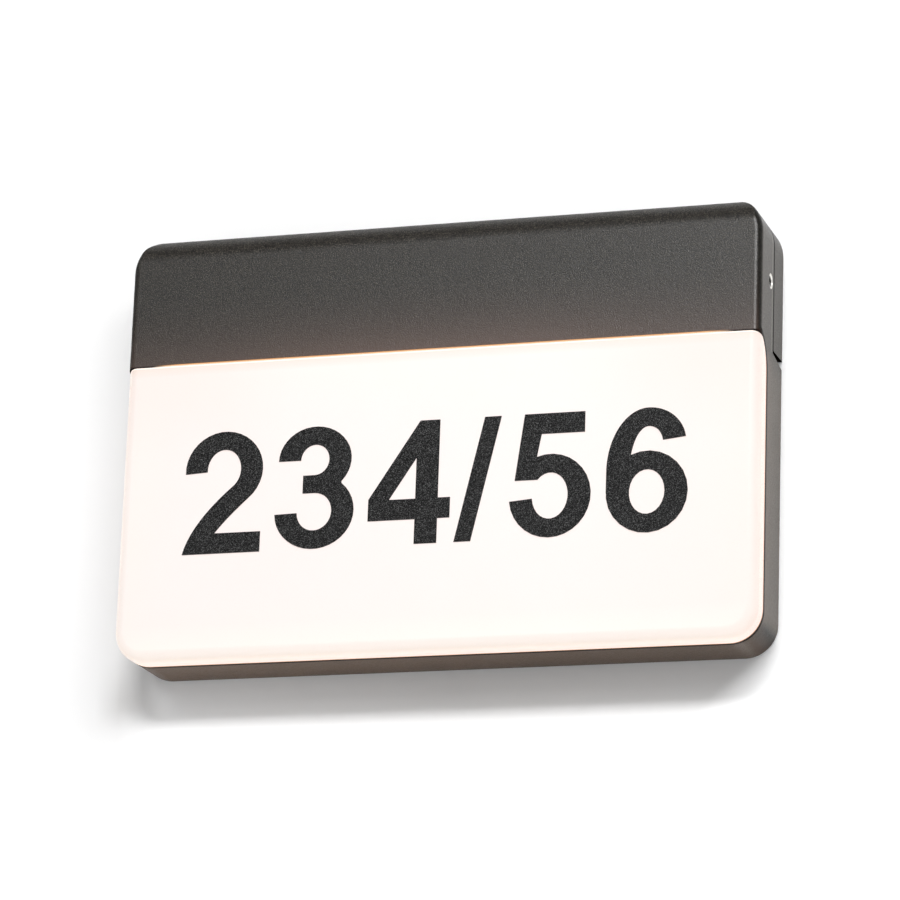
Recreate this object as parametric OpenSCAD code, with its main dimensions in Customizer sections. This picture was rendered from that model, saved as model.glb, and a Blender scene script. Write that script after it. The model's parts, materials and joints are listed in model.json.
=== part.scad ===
// Illuminated house number light for an outside wall.
// The origin is on the wall, in the middle of the bracket's two screw slots.
// X runs across the light, Z runs up, and the front faces -Y.

/* [Overall size] */
// Width of the light
light_w = 225; // [215:1:240]
// Height of the light
light_h = 152.5; // [148:0.5:200]
// Depth from the wall to the front face
light_d = 31; // [30.5:0.5:40]
// Radius of the bottom corners seen from the front
corner_r = 11; // [9:0.5:13]
// Radius of the top corners seen from the front
top_corner_r = 13; // [11:0.5:13.5]

/* [Housing] */
// Height of the metal cap above the diffuser
cap_h = 47.9; // [47.1:0.1:54]
// Thickness of the housing's top, bottom and side walls
shell_t = 2.8; // [2.4:0.1:3.2]
// Thickness of the cap's front wall
face_t = 2.5; // [2:0.1:3]
// Thickness of the housing's back and of the wall under the cap
floor_t = 2.5; // [2:0.1:3]
// Radius of the cap's front edges at the sides
cap_edge_r = 2.5; // [1.5:0.25:3.5]
// Radius of the cap's front edge at the top
cap_top_r = 9.9; // [5:0.1:10.9]
// Gap between the housing's back and the building's wall
wall_gap = 0.6; // [0.5:0.1:1.4]
// Drop of the sloped step under the bracket
step_fall = 2.1; // [1:0.1:3]
// Width of the ledge that carries the diffuser's seal
ledge_w = 2.2; // [1.8:0.1:2.6]
// Thickness of that ledge
ledge_t = 2; // [1.5:0.1:2.2]

/* [Diffuser] */
// Depth of the diffuser behind the front face
parting_d = 9.3; // [8.8:0.1:10]
// Thickness of the diffuser's walls
lens_t = 2.5; // [2:0.1:2.8]
// Radius of the diffuser's front edges
lens_edge_r = 3.75; // [3:0.25:4.5]
// Radius of the curve where the diffuser runs under the cap
arc_r = 12.5; // [11:0.5:14]
// Gap between the diffuser and the housing
seam = 0.3; // [0.2:0.05:0.4]
// Thickness of the lip that enters the housing
lip_t = 1.6; // [1.2:0.1:1.8]
// Reach of that lip into the housing
lip_reach = 2; // [1.8:0.1:2.2]
// Thickness of the pressed rubber seal
seal_t = 1.2; // [1:0.1:1.4]

/* [Wall bracket] */
// Height of the bracket
bracket_h = 50; // [48.5:0.1:52]
// Depth of the bracket
bracket_d = 13.4; // [12.5:0.1:13.9]
// Thickness of the bracket's rim
rim_t = 2.8; // [2.4:0.1:3.2]
// Thickness of the bracket's back
back_t = 2.5; // [2.2:0.1:3]
// Joint gap between the bracket and the housing
joint_gap = 0.25; // [0.15:0.05:0.35]
// Gap between the bracket's underside and the step below it
step_gap = 1; // [0.9:0.1:1.5]
// Thickness of the bracket's locating lip and ears
locate_t = 2.4; // [2:0.1:2.8]
// Reach of the lip and the ears into the housing
locate_reach = 7.8; // [7.4:0.1:8.4]
// Width of the locating lip at the top
top_lip_w = 180; // [150:1:185]
// Height of the ears that the set screws press on
ear_h = 17; // [13:0.5:20]
// Clearance of the lip and the ears in the housing
locate_clear = 0.3; // [0.2:0.05:0.4]
// Distance between the two wall screw slots
slot_spacing = 150; // [140:1:160]
// Width of a wall screw slot
slot_w = 4.6; // [4:0.1:5.5]
// Length of a wall screw slot
slot_l = 14; // [10:0.5:18]
// Diameter of the hole for the cable grommet
entry_d = 16; // [14:0.5:18]
// Diameter of the grommet's bore
entry_bore_d = 8; // [6:0.5:9]
// Width of the foam gasket in the back
gasket_w = 3; // [2:0.1:4]
// Thickness of that gasket when pressed
gasket_t = 1; // [0.8:0.1:1.2]
// Distance of that gasket from the bracket's edge
gasket_inset = 3.2; // [2.5:0.1:5]

/* [Set screws] */
// Thread diameter of the set screws
screw_d = 5; // [4:0.5:6]
// Depth of a set screw's face below the housing's side
screw_sink = 0.35; // [0.1:0.05:1]
// Distance of the set screws from the top of the light
screw_drop = 26.9; // [24.5:0.1:28.5]
// Distance of the set screws in front of the housing's joint with the bracket
screw_back = 3.8; // [3.6:0.1:4.2]
// Thickness of the pads that the set screws turn in
pad_t = 3.3; // [2.5:0.1:4]
// Height of those pads
pad_h = 11; // [9:0.5:14]
// Width across the flats of the hex sockets
hex_w = 2.5; // [2:0.1:3]
// Depth of the hex sockets
hex_d = 3; // [2:0.1:3.5]
// Free play around a thread
thread_play = 0.05; // [0.03:0.01:0.08]

/* [Diffuser screws] */
// Screws on each side
lens_screws = 3; // [2:1:4]
// Distance of the screws from the light's side
lens_screw_in = 8.7; // [8.6:0.1:9.5]
// Distance of the end screws from the tray's inside corners
lens_screw_end = 8.5; // [7.5:0.1:12]
// Diameter of the pillars that the screws pass through
pillar_d = 8.4; // [8.2:0.1:9]
// Depth of the pillars' faces behind the ledge
pillar_drop = 1.6; // [1.2:0.1:2]
// Diameter of the bosses on the diffuser
boss_d = 6.2; // [5.6:0.1:6.4]
// Shank diameter of the screws
lens_screw_d = 3; // [2.5:0.1:3.2]
// Length of the screws under the head
lens_screw_l = 13; // [10:0.5:13.5]

/* [Light source] */
// Distance of the light source's board from the light's sides
board_side = 19.5; // [18.5:0.5:28]
// Distance of that board from the top and the bottom of the tray
board_gap = 12; // [10:0.5:15]
// Thickness of that board
board_t = 1.6; // [1:0.1:2]
// Height of the pads that carry the board
board_lift = 3; // [2:0.1:4]
// Columns of light-emitting diodes
led_columns = 8; // [6:1:9]
// Rows of light-emitting diodes
led_rows = 3; // [2:1:4]
// Distance of the outer diodes from the board's ends
led_end = 12.5; // [11:0.5:16]
// Distance of the outer diodes from the board's long edges
led_edge = 13; // [10:0.5:16]
// Height of the reflector's rim
reflector_rim = 5; // [3:0.5:6]
// Thickness of the reflector
reflector_t = 0.6; // [0.5:0.1:1]

/* [Driver] */
// Length of the driver's case
driver_w = 76; // [72:1:78]
// Height of the driver's case
driver_h = 34; // [31:1:34]
// Depth of the driver's case
driver_d = 17; // [15.5:0.5:18]
// Wall thickness of the driver's case
driver_t = 1.6; // [1.2:0.1:2]
// Length of the driver's fixing ears
driver_ear = 8; // [7.5:0.1:9]
// Distance of the driver's case from the light's left side
driver_side = 22.5; // [21:0.5:25]

/* [Terminal block] */
// Distance between the poles
pole_pitch = 9; // [8.6:0.1:10]
// Height of the block
block_h = 20; // [18:0.5:22]
// Depth of the block
block_d = 14; // [13:0.5:14.5]
// Diameter of a brass clamp
clamp_d = 6; // [5.4:0.1:6.4]
// Diameter of a clamp's wire hole
clamp_bore = 3.2; // [2.8:0.1:3.4]
// Distance of the earth screw from the light's right side
earth_side = 38; // [36:0.5:42]
// Distance between the middle of the block and the earth screw
block_to_earth = 36.5; // [35:0.5:40]

/* [House number] */
// Height of the digits
digit_h = 43; // [30:0.5:46]
// Width of a digit
digit_w = 28; // [22:0.5:30]
// Width of a digit's upright strokes
stem_w = 7.9; // [5:0.1:9]
// Width of a digit's level strokes
bar_w = 7.1; // [4.5:0.1:8]
// Distance from one digit to the next
digit_spacing = 33.2; // [31:0.1:34]
// Distance that the dividing stroke takes up
stroke_spacing = 16.6; // [14:0.1:18]
// Height of the digits' baseline above the light's bottom edge
baseline = 36.5; // [30:0.5:50]
// Width of a digit's curved strokes at the top and the bottom
curve_w = 6.4; // [4:0.1:7.5]
// Thickness of the adhesive film
film_t = 0.3; // [0.2:0.05:0.5]

/* [Hidden] */
$fn = 64;

// Clearance between pieces that touch or nest
fit = 0.05;
// Overshoot of a cut past the face it opens
cut = 1;

// Levels of the front view
top_z = bracket_h / 2;
bottom_z = top_z - light_h;
division_z = top_z - cap_h;
step_z = -bracket_h / 2 - step_gap;
half_w = light_w / 2;

// Levels in depth, from the front to the wall
front_y = -light_d;
parting_y = front_y + parting_d;
lip_end_y = parting_y + lip_reach;
ledge_y = lip_end_y + seal_t;
ledge_back_y = ledge_y + ledge_t;
bracket_y = -bracket_d;
head_rear_y = bracket_y - joint_gap;
back_y = -wall_gap;
floor_y = back_y - floor_t;
cap_in_y = front_y + face_t;
locate_y = bracket_y - locate_reach;

// The curve where the diffuser runs under the cap
arc_y = parting_y - arc_r;
arc_z = division_z - sqrt(arc_r * arc_r - (arc_r - parting_d) * (arc_r - parting_d));

// The tray behind the diffuser
tray_x = half_w - shell_t;
tray_z = bottom_z + shell_t;
ceiling_z = step_z - step_fall - floor_t;
tray_mid_z = (arc_z + tray_z) / 2;

// Screws in general: radial clearance of a shank and of a sunk head, and what a blind hole leaves
hole_clear = 0.2;
head_clear = 0.4;
blind_skin = 1;

// Diffuser screws
lens_screw_x = half_w - lens_screw_in;
lens_screw_top = arc_z - lens_screw_end;
lens_screw_bottom = tray_z + lens_screw_end;
lens_head_d = lens_screw_d + 2.6;
lens_head_h = 2.2;
pillar_y = ledge_back_y + pillar_drop;
pillar_seat = 3;
pilot_skin = 1.5;
washer_t = 0.8;

// Set screws
screw_y = head_rear_y - screw_back;
screw_z = top_z - screw_drop;
ear_x = tray_x - pad_t - locate_clear;
screw_tip_x = ear_x + fit;
screw_face_x = half_w - screw_sink;

// Bracket's slot pads and the grommet's flanges
slot_pad = 3;
slot_pad_t = 1;
flange_w = 2;
flange_t = 1.2;
nose_h = 3.5;

// Light source
board_w = light_w - 2 * board_side;
board_h = arc_z - tray_z - 2 * board_gap;
board_y = floor_y - board_lift;
board_front_y = board_y - board_t;
board_boss_d = 8;
board_rib_in = 14;
board_screw_d = 3;
board_screw_x = board_w / 2 - 5;
board_screw_z = board_h / 2 - 10;
board_screw_l = 5.6;
board_head_h = 1.9;
reflector_y = board_front_y - reflector_t;
reflector_over = 2.5;
led_w = 3.5;
led_l = 2.8;
led_h = 0.8;
led_dish_d = 2.2;
led_dish_t = 0.2;
led_gap = 1.2;

// Driver
driver_x = driver_side + driver_w / 2 - half_w;
driver_z = -3;
driver_y = cap_in_y;
driver_post_d = 7;
ear_seat_y = driver_y + 4;
ear_t = 2.5;
ear_w = 10;
driver_screw_d = 3;
driver_screw_l = 6;
driver_screw_x = driver_w / 2 + driver_ear / 2;
driver_head_h = 1.9;
driver_left_x = driver_x - driver_w / 2;
driver_right_x = driver_x + driver_w / 2;
driver_wire_y = driver_y + driver_d / 2 + 2;
driver_wire_z = driver_z - driver_h / 2 + 7;
lid_clear = 0.15;
lid_rim = 1.2;
card_gap = 0.5;
card_y = driver_y + driver_t + 2;
card_t = 1.6;
card_back_y = card_y + card_t;
card_post_d = 4;
core_w = 16;
core_d = 8.5;
core_bar = 3;
winding_w = 12;
can_d = 8;
can_l = 12;
can_gap = 4;

// Earth point
earth_x = half_w - earth_side;
earth_z = -4;
earth_y = cap_in_y + 8;
earth_d = 4;
earth_boss_d = 9;
earth_washer_d = 8;
tag_t = 0.8;
tag_w = 3;
tag_l = 13;

// Terminal block
block_x = earth_x - block_to_earth;
block_z = -2;
block_y = cap_in_y + 4;
block_w = 3 * pole_pitch + 2;
block_post_d = 6;
pole_x = [block_x - pole_pitch, block_x, block_x + pole_pitch];
clamp_y = block_y + 5;
clamp_l = block_h - 3;
clamp_screw_d = 2.6;
clamp_screw_z = block_h / 2 - 5;
clamp_screw_sink = 2.5;
block_screw_d = 2.6;
block_head_d = 4.2;
block_head_sink = 5;

// Leads
mains_d = 2.2;
strand_d = 1.2;
led_lead_d = 1.6;
lead_gap = 4;
lead_sides = 8;
lead_steps = 3;
lead_x = driver_left_x - 6;
lead_y = (ledge_back_y + head_rear_y) / 2;
lead_slot_w = 9;
lead_slot_h = 3.6;
pad_x = lead_x + 7;
pad_z = tray_mid_z + board_h / 2 - 3;
entry_z = block_z - block_h / 2 - 0.9;
lead_low_z = step_z + 4.5;

// House number
number_w = 5 * digit_spacing + stroke_spacing;
baseline_z = bottom_z + baseline;
bearing = (digit_spacing - digit_w) / 2;

// Extrudes an (x, z) shape from depth y0 back to depth y1
module deep(y0, y1) {
    translate([0, y1, 0]) rotate([90, 0, 0]) linear_extrude(y1 - y0) children();
}

// Extrudes a (y, z) profile from x0 to x1
module across(x0, x1) {
    translate([x0, 0, 0]) rotate([90, 0, 90]) linear_extrude(x1 - x0) children();
}

// A box from one corner to the opposite one
module span(low, high) {
    translate(low) cube(high - low);
}

// A cylinder along Y from y0 to y1
module rod_y(x, z, d, y0, y1) {
    translate([x, y1, z]) rotate([90, 0, 0]) cylinder(d = d, h = y1 - y0);
}

// A cylinder along X from x0 to x1
module rod_x(y, z, d, x0, x1) {
    translate([x0, y, z]) rotate([0, 90, 0]) cylinder(d = d, h = x1 - x0);
}

// A cylinder along Z from z0 to z1
module rod_z(x, y, d, z0, z1) {
    translate([x, y, z0]) cylinder(d = d, h = z1 - z0);
}

// Rounded rectangle between two corners, with a radius at the bottom and one at the top
module round_rect(x0, z0, x1, z1, r, top_r) {
    translate([x0 + r, z0]) square([x1 - x0 - 2 * r, z1 - z0 - top_r]);
    translate([x0 + top_r, z0 + r]) square([x1 - x0 - 2 * top_r, z1 - z0 - r]);
    translate([x0, z0 + r]) square([x1 - x0, z1 - z0 - r - top_r]);
    for (x = [x0 + r, x1 - r]) translate([x, z0 + r]) circle(r);
    for (x = [x0 + top_r, x1 - top_r]) translate([x, z1 - top_r]) circle(top_r);
}

// Outline of the whole light, set in by a distance
module outline(inset) {
    round_rect(
        -half_w + inset, bottom_z + inset, half_w - inset, top_z - inset,
        corner_r - inset, top_corner_r - inset
    );
}

// What a curve of radius r takes off a corner at (y0, z1) that faces the front and the top
module corner_waste(y0, z1, r) {
    translate([y0 + r, z1 - r]) difference() {
        translate([-r - cut, 0]) square(r + cut);
        circle(r);
    }
}

// Cross-section of a block with one rounded front corner, from its back corner
module edge_section(w, d, e) {
    difference() {
        square([w, d]);
        translate([w - e, d - e]) difference() {
            square(e + cut);
            circle(e);
        }
    }
}

// Upper end of a block with rounded front edges: its level edge and its two corners of radius r
module block_end(d, e, r) {
    ix = half_w - r;
    translate([-ix, 0, 0]) rotate([90, 0, 90]) linear_extrude(2 * ix) edge_section(light_h / 2, d, e);
    for (side = [0, 1]) mirror([side, 0, 0])
        translate([ix, light_h / 2 - r, 0]) rotate_extrude(angle = 90) edge_section(r, d, e);
}

// Block with the light's outline and rounded front edges, from the front back to y1
module soft_block(e, y1) {
    d = y1 - front_y;
    high = light_h / 2 - top_corner_r;
    low = light_h / 2 - corner_r;
    translate([0, y1, (top_z + bottom_z) / 2]) rotate([90, 0, 0]) {
        for (side = [0, 1]) mirror([side, 0, 0])
            translate([0, high, 0]) rotate([90, 0, 0]) linear_extrude(high + low) edge_section(half_w, d, e);
        block_end(d, e, top_corner_r);
        mirror([0, 1, 0]) block_end(d, e, corner_r);
    }
}

// Profile of the space in front of the parting plane and under the curve, grown inwards by a gap
module lens_profile(gap) {
    intersection() {
        translate([arc_y, arc_z]) circle(arc_r - gap);
        translate([front_y - cut, arc_z]) square([light_d, light_h]);
    }
    translate([front_y - cut, bottom_z - cut])
        square([parting_d - gap + cut, arc_z - bottom_z + cut]);
}

// Ring in the front view between two insets of the tray's mouth
module mouth_ring(outer, inner) {
    difference() {
        mouth(outer);
        mouth(inner);
    }
}

// Outline of the tray's mouth, set in by a distance from its walls
module mouth(inset) {
    r = corner_r - shell_t - inset;
    round_rect(-tray_x + inset, tray_z + inset, tray_x - inset, arc_z - inset, r, r);
}

// Places each child at every diffuser screw
module at_lens_screws() {
    for (x = [-lens_screw_x, lens_screw_x], i = [0 : lens_screws - 1])
        translate([x, 0, lens_screw_top + (lens_screw_bottom - lens_screw_top) * i / (lens_screws - 1)])
            children();
}

// Places each child at every screw of the light source's board
module at_board_screws() {
    for (x = [-board_screw_x, board_screw_x], z = [-board_screw_z, board_screw_z])
        translate([x, 0, tray_mid_z + z]) children();
}

// Places each child at both driver screws
module at_driver_screws() {
    for (x = [-driver_screw_x, driver_screw_x]) translate([driver_x + x, 0, driver_z]) children();
}

// Places each child between the terminal block's poles
module at_block_screws() {
    for (x = [-pole_pitch / 2, pole_pitch / 2]) translate([block_x + x, 0, block_z]) children();
}

// Places each child at every light-emitting diode
module at_leds() {
    across_w = board_w - 2 * led_end;
    across_h = board_h - 2 * led_edge;
    for (i = [0 : led_columns - 1], j = [0 : led_rows - 1])
        translate([
            across_w * (i / (led_columns - 1) - 0.5), 0, tray_mid_z + across_h * (j / (led_rows - 1) - 0.5)
        ]) children();
}

// Screw along Y with a cross recess, its head's seat at y = 0 and its tip towards -Y
module pan_screw(d, l, head_d, head_h, recess_t) {
    recess_l = head_d * 0.64;
    recess_w = head_d * 0.14;
    difference() {
        union() {
            rod_y(0, 0, d, -l, 0);
            rod_y(0, 0, head_d, 0, head_h);
        }
        for (turn = [0, 90]) rotate([0, turn, 0]) span(
            [-recess_l / 2, head_h - recess_t, -recess_w / 2],
            [recess_l / 2, head_h + cut, recess_w / 2]
        );
    }
}

// Room of the bracket behind the cap, down to the sloped step
module bracket_room() {
    across(-half_w - cut, half_w + cut) polygon([
        [head_rear_y, top_z + cut],
        [head_rear_y, step_z],
        [bracket_y, step_z],
        [back_y, step_z - step_fall],
        [cut, step_z - step_fall],
        [cut, top_z + cut]
    ]);
}

// Hollow of the cap
module cap_cavity() {
    difference() {
        intersection() {
            deep(cap_in_y, head_rear_y + cut) outline(shell_t);
            span([-half_w, front_y, step_z], [half_w, 0, top_z]);
        }
        across(-half_w, half_w) translate([arc_y, arc_z]) circle(arc_r + floor_t);
        across(-half_w, half_w) corner_waste(cap_in_y, top_z - shell_t, cap_top_r - shell_t);
    }
}

// Hollow of the tray behind the diffuser
module tray_cavity() {
    tray_r = corner_r - shell_t;
    deep(parting_y - cut, ledge_y) mouth(0);
    deep(ledge_y - cut, ledge_back_y + cut) mouth(ledge_w);
    deep(ledge_back_y, floor_y) round_rect(-tray_x, tray_z, tray_x, ceiling_z, tray_r, tray_r);
}

// Stadium along x in the (x, y) plane
module stadium(w, h) {
    square([w - h, h], center = true);
    for (x = [-(w - h) / 2, (w - h) / 2]) translate([x, 0]) circle(d = h);
}

// Cast housing: cap in front at the top, tray behind the diffuser
module head_housing() {
    color("#575653") difference() {
        union() {
            difference() {
                soft_block(cap_edge_r, back_y);
                across(-half_w - cut, half_w + cut) corner_waste(front_y, top_z, cap_top_r);
                bracket_room();
                across(-half_w - cut, half_w + cut) lens_profile(0);
                cap_cavity();
                tray_cavity();
            }
            at_lens_screws() rod_y(0, 0, pillar_d, pillar_y, floor_y);
            at_board_screws() rod_y(0, 0, board_boss_d, board_y, floor_y);
            span(
                [board_rib_in - board_w / 2, board_y, tray_mid_z - board_h / 4],
                [board_w / 2 - board_rib_in, floor_y, tray_mid_z + board_h / 4]
            );
            at_driver_screws() rod_y(0, 0, driver_post_d, cap_in_y, ear_seat_y);
            at_block_screws() rod_y(0, 0, block_post_d, cap_in_y, block_y);
            rod_y(earth_x, earth_z, earth_boss_d, cap_in_y, earth_y);
            for (side = [0, 1]) mirror([side, 0, 0]) span(
                [tray_x - pad_t, locate_y, screw_z - pad_h / 2],
                [tray_x, head_rear_y, screw_z + pad_h / 2]
            );
        }
        at_lens_screws() {
            rod_y(0, 0, lens_screw_d + 2 * hole_clear, pillar_y - cut, back_y);
            rod_y(0, 0, lens_head_d + 2 * head_clear, pillar_y + pillar_seat, back_y + cut);
        }
        at_board_screws()
            rod_y(0, 0, board_screw_d + 2 * thread_play, board_y - cut, back_y - blind_skin);
        at_driver_screws()
            rod_y(0, 0, driver_screw_d + 2 * thread_play, cap_in_y, ear_seat_y + cut);
        at_block_screws()
            rod_y(0, 0, block_screw_d + 2 * thread_play, cap_in_y, block_y + cut);
        rod_y(earth_x, earth_z, earth_d + 2 * thread_play, cap_in_y, earth_y + cut);
        for (side = [0, 1]) mirror([side, 0, 0])
            rod_x(screw_y, screw_z, screw_d + 2 * thread_play, ear_x, half_w + cut);
        translate([lead_x, lead_y, ceiling_z - cut])
            linear_extrude(step_z - ceiling_z + 2 * cut) stadium(lead_slot_w, lead_slot_h);
    }
}

// Opal front that wraps round the sides and the bottom
module diffuser() {
    rim_y = parting_y - seam;
    color("#fbf3ec") difference() {
        union() {
            difference() {
                intersection() {
                    soft_block(lens_edge_r, parting_y);
                    across(-half_w, half_w) lens_profile(seam);
                }
                intersection() {
                    deep(front_y + lens_t, parting_y + cut) outline(lens_t);
                    across(-half_w, half_w) difference() {
                        lens_profile(seam + lens_t);
                        translate([front_y - cut, bottom_z]) square([lens_t + cut, light_h]);
                    }
                }
                deep(rim_y - lens_t - seam, parting_y + cut) mouth(seam + lip_t);
            }
            deep(rim_y - lens_t, lip_end_y) mouth_ring(seam, seam + lip_t);
            at_lens_screws() rod_y(0, 0, boss_d, front_y + lens_t - fit, pillar_y);
        }
        at_lens_screws()
            rod_y(0, 0, lens_screw_d + 2 * thread_play, front_y + lens_t + pilot_skin, pillar_y + cut);
    }
}

// Rubber ring between the diffuser's lip and the housing's ledge
module diffuser_seal() {
    color("#2b2b2b") deep(lip_end_y, ledge_y) mouth_ring(seam, seam + lip_t);
}

// Long screws from the back that pull the diffuser onto its seal
module diffuser_screws() {
    color("silver") at_lens_screws() translate([0, pillar_y + pillar_seat + washer_t, 0])
        pan_screw(lens_screw_d, lens_screw_l, lens_head_d, lens_head_h, lens_head_h / 2);
}

// Sealing washers under the diffuser screws' heads
module screw_seals() {
    seat = pillar_y + pillar_seat;
    color("#2b2b2b") at_lens_screws() difference() {
        rod_y(0, 0, lens_head_d, seat, seat + washer_t);
        rod_y(0, 0, lens_screw_d + 2 * fit, seat - cut, seat + washer_t + cut);
    }
}

// Outline of the bracket, set in by a distance from the light's edge and from its underside
module bracket_outline(inset) {
    intersection() {
        outline(inset);
        translate([-half_w, -bracket_h / 2 + inset]) square([light_w, bracket_h]);
    }
}

// Cast bracket that is screwed to the wall and carries the housing
module wall_bracket() {
    lip_z = top_z - shell_t - locate_clear;
    gasket_in = gasket_inset + gasket_w;
    color("#575653") difference() {
        union() {
            difference() {
                deep(bracket_y, 0) bracket_outline(0);
                deep(bracket_y - cut, -back_t) bracket_outline(rim_t);
            }
            span([-top_lip_w / 2, locate_y, lip_z - locate_t], [top_lip_w / 2, -back_t, lip_z]);
            span(
                [-top_lip_w / 2, bracket_y, lip_z - locate_t],
                [top_lip_w / 2, -back_t, top_z - rim_t / 2]
            );
            for (side = [0, 1]) mirror([side, 0, 0]) {
                span(
                    [ear_x - locate_t, locate_y, screw_z - ear_h / 2],
                    [ear_x, -back_t, screw_z + ear_h / 2]
                );
                span(
                    [ear_x - locate_t, bracket_y, screw_z - ear_h / 2],
                    [half_w - rim_t / 2, -back_t, screw_z + ear_h / 2]
                );
                rod_y(slot_spacing / 2, 0, slot_l + 2 * slot_pad, -back_t - slot_pad_t, -back_t);
            }
        }
        for (side = [0, 1]) mirror([side, 0, 0])
            deep(bracket_y, cut) translate([slot_spacing / 2, 0]) stadium(slot_l, slot_w);
        rod_y(0, 0, entry_d, bracket_y, cut);
        rod_y(0, 0, entry_d + 2 * flange_w, -gasket_t, cut);
        deep(-gasket_t, cut) difference() {
            bracket_outline(gasket_inset);
            bracket_outline(gasket_in);
        }
    }
}

// Foam gasket pressed flush into the bracket's back
module wall_gasket() {
    color("#3a3a3a") deep(-gasket_t, 0) difference() {
        bracket_outline(gasket_inset + fit);
        bracket_outline(gasket_inset + gasket_w - fit);
    }
}

// Rubber grommet that the supply cable enters through
module cable_grommet() {
    bore_r = entry_bore_d / 2;
    neck_r = entry_d / 2 - fit;
    color("#262626") rotate([90, 0, 0]) rotate_extrude() polygon([
        [bore_r, 0],
        [neck_r + flange_w - fit, 0],
        [neck_r + flange_w - fit, gasket_t],
        [neck_r, gasket_t],
        [neck_r, back_t],
        [neck_r + flange_w, back_t],
        [neck_r + flange_w, back_t + flange_t],
        [bore_r + flange_t, back_t + nose_h],
        [bore_r, back_t + nose_h]
    ]);
}

// Hex-socket set screw in the right side
module side_screw() {
    color("silver") difference() {
        rod_x(screw_y, screw_z, screw_d, screw_tip_x, screw_face_x);
        translate([screw_face_x - hex_d, screw_y, screw_z]) rotate([0, 90, 0])
            cylinder(d = hex_w / cos(30), h = hex_d + cut, $fn = 6);
    }
}

module set_screw_right() {
    side_screw();
}

module set_screw_left() {
    mirror([1, 0, 0]) side_screw();
}

// Metal-core board of the light source
module led_board() {
    color("#e9ebe6") difference() {
        span(
            [-board_w / 2, board_front_y, tray_mid_z - board_h / 2],
            [board_w / 2, board_y, tray_mid_z + board_h / 2]
        );
        at_board_screws()
            rod_y(0, 0, board_screw_d + 2 * hole_clear, board_front_y - cut, board_y + cut);
    }
}

// Light-emitting diodes, all alike
module leds() {
    color("#f3df7c") at_leds() difference() {
        span([-led_w / 2, board_front_y - led_h, -led_l / 2], [led_w / 2, board_front_y, led_l / 2]);
        rod_y(0, 0, led_dish_d, board_front_y - led_h - cut, board_front_y - led_h + led_dish_t);
    }
}

// White tray over the board, with a window for each diode
module reflector() {
    rim_y = reflector_y - reflector_rim;
    low = [-board_w / 2 - reflector_over, tray_mid_z - board_h / 2 - reflector_over];
    high = [board_w / 2 + reflector_over, tray_mid_z + board_h / 2 + reflector_over];
    wall = [reflector_t, reflector_t];
    notch = lead_gap + 2;
    color("white") difference() {
        deep(rim_y, board_front_y) translate(low) square(high - low);
        deep(rim_y - cut, reflector_y) translate(low + wall) square(high - low - 2 * wall);
        at_leds() span(
            [-led_w / 2 - led_gap, reflector_y - cut, -led_l / 2 - led_gap],
            [led_w / 2 + led_gap, board_front_y + cut, led_l / 2 + led_gap]
        );
        at_board_screws()
            rod_y(0, 0, board_screw_d + 2 * hole_clear, reflector_y - cut, board_front_y + cut);
        span(
            [pad_x - notch, rim_y - cut, pad_z - notch / 2],
            [pad_x + notch, board_front_y + cut, high.y + cut]
        );
    }
}

// Screws that hold the board and the reflector
module board_screws() {
    color("silver") at_board_screws() translate([0, reflector_y, 0]) mirror([0, 1, 0])
        pan_screw(board_screw_d, board_screw_l, board_screw_d + 2.4, board_head_h, board_head_h / 2);
}

// Plastic case of the driver, open at the back
module driver_case() {
    left = driver_left_x;
    right = driver_right_x;
    low = driver_z - driver_h / 2;
    high = driver_z + driver_h / 2;
    rear = driver_y + driver_d - driver_t;
    post_in = driver_t + card_post_d / 2 + card_gap;
    color("#e4e4df") difference() {
        union() {
            difference() {
                span([left, driver_y, low], [right, rear, high]);
                span(
                    [left + driver_t, driver_y + driver_t, low + driver_t],
                    [right - driver_t, rear + cut, high - driver_t]
                );
            }
            for (x = [left + post_in, right - post_in], z = [low + post_in, high - post_in])
                rod_y(x, z, card_post_d, driver_y + driver_t - fit, card_y);
            for (side = [0, 1]) translate([driver_x, ear_seat_y, driver_z]) mirror([side, 0, 0])
                span([driver_w / 2 - fit, 0, -ear_w / 2], [driver_w / 2 + driver_ear, ear_t, ear_w / 2]);
        }
        at_driver_screws()
            rod_y(0, 0, driver_screw_d + 2 * hole_clear, ear_seat_y - cut, ear_seat_y + ear_t + cut);
        for (z = [-lead_gap / 2, lead_gap / 2]) {
            rod_x(driver_wire_y, driver_wire_z + z, led_lead_d + 2 * fit, left - cut, left + driver_t + cut);
            rod_x(driver_wire_y, driver_wire_z + z, mains_d + 2 * fit, right - driver_t - cut, right + cut);
        }
    }
}

// Rectangle of the driver's front view, set in by a distance
module driver_face(inset) {
    translate([driver_x, driver_z]) square([driver_w - 2 * inset, driver_h - 2 * inset], center = true);
}

// Lid of the driver, with a rim inside the case
module driver_lid() {
    rear = driver_y + driver_d;
    plate_y = rear - driver_t;
    inset = driver_t + lid_clear;
    color("#dcdcd6") {
        deep(plate_y, rear) driver_face(0);
        deep(plate_y - lid_rim, plate_y) difference() {
            driver_face(inset);
            driver_face(inset + lid_rim);
        }
    }
}

// Circuit board inside the driver
module driver_board() {
    color("#2f6b3c") deep(card_y, card_back_y) driver_face(driver_t + card_gap);
}

// Transformer: ferrite core round its winding
module driver_transformer() {
    inner = core_w / 2 - core_bar;
    color("#3b3a36") translate([driver_x, card_back_y, driver_z]) {
        for (side = [0, 1]) mirror([0, 0, side])
            span([-core_w / 2, 0, inner], [core_w / 2, core_d, core_w / 2]);
        span([-winding_w / 2, core_bar / 3, -inner], [winding_w / 2, core_d - core_bar / 3, inner]);
    }
}

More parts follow.
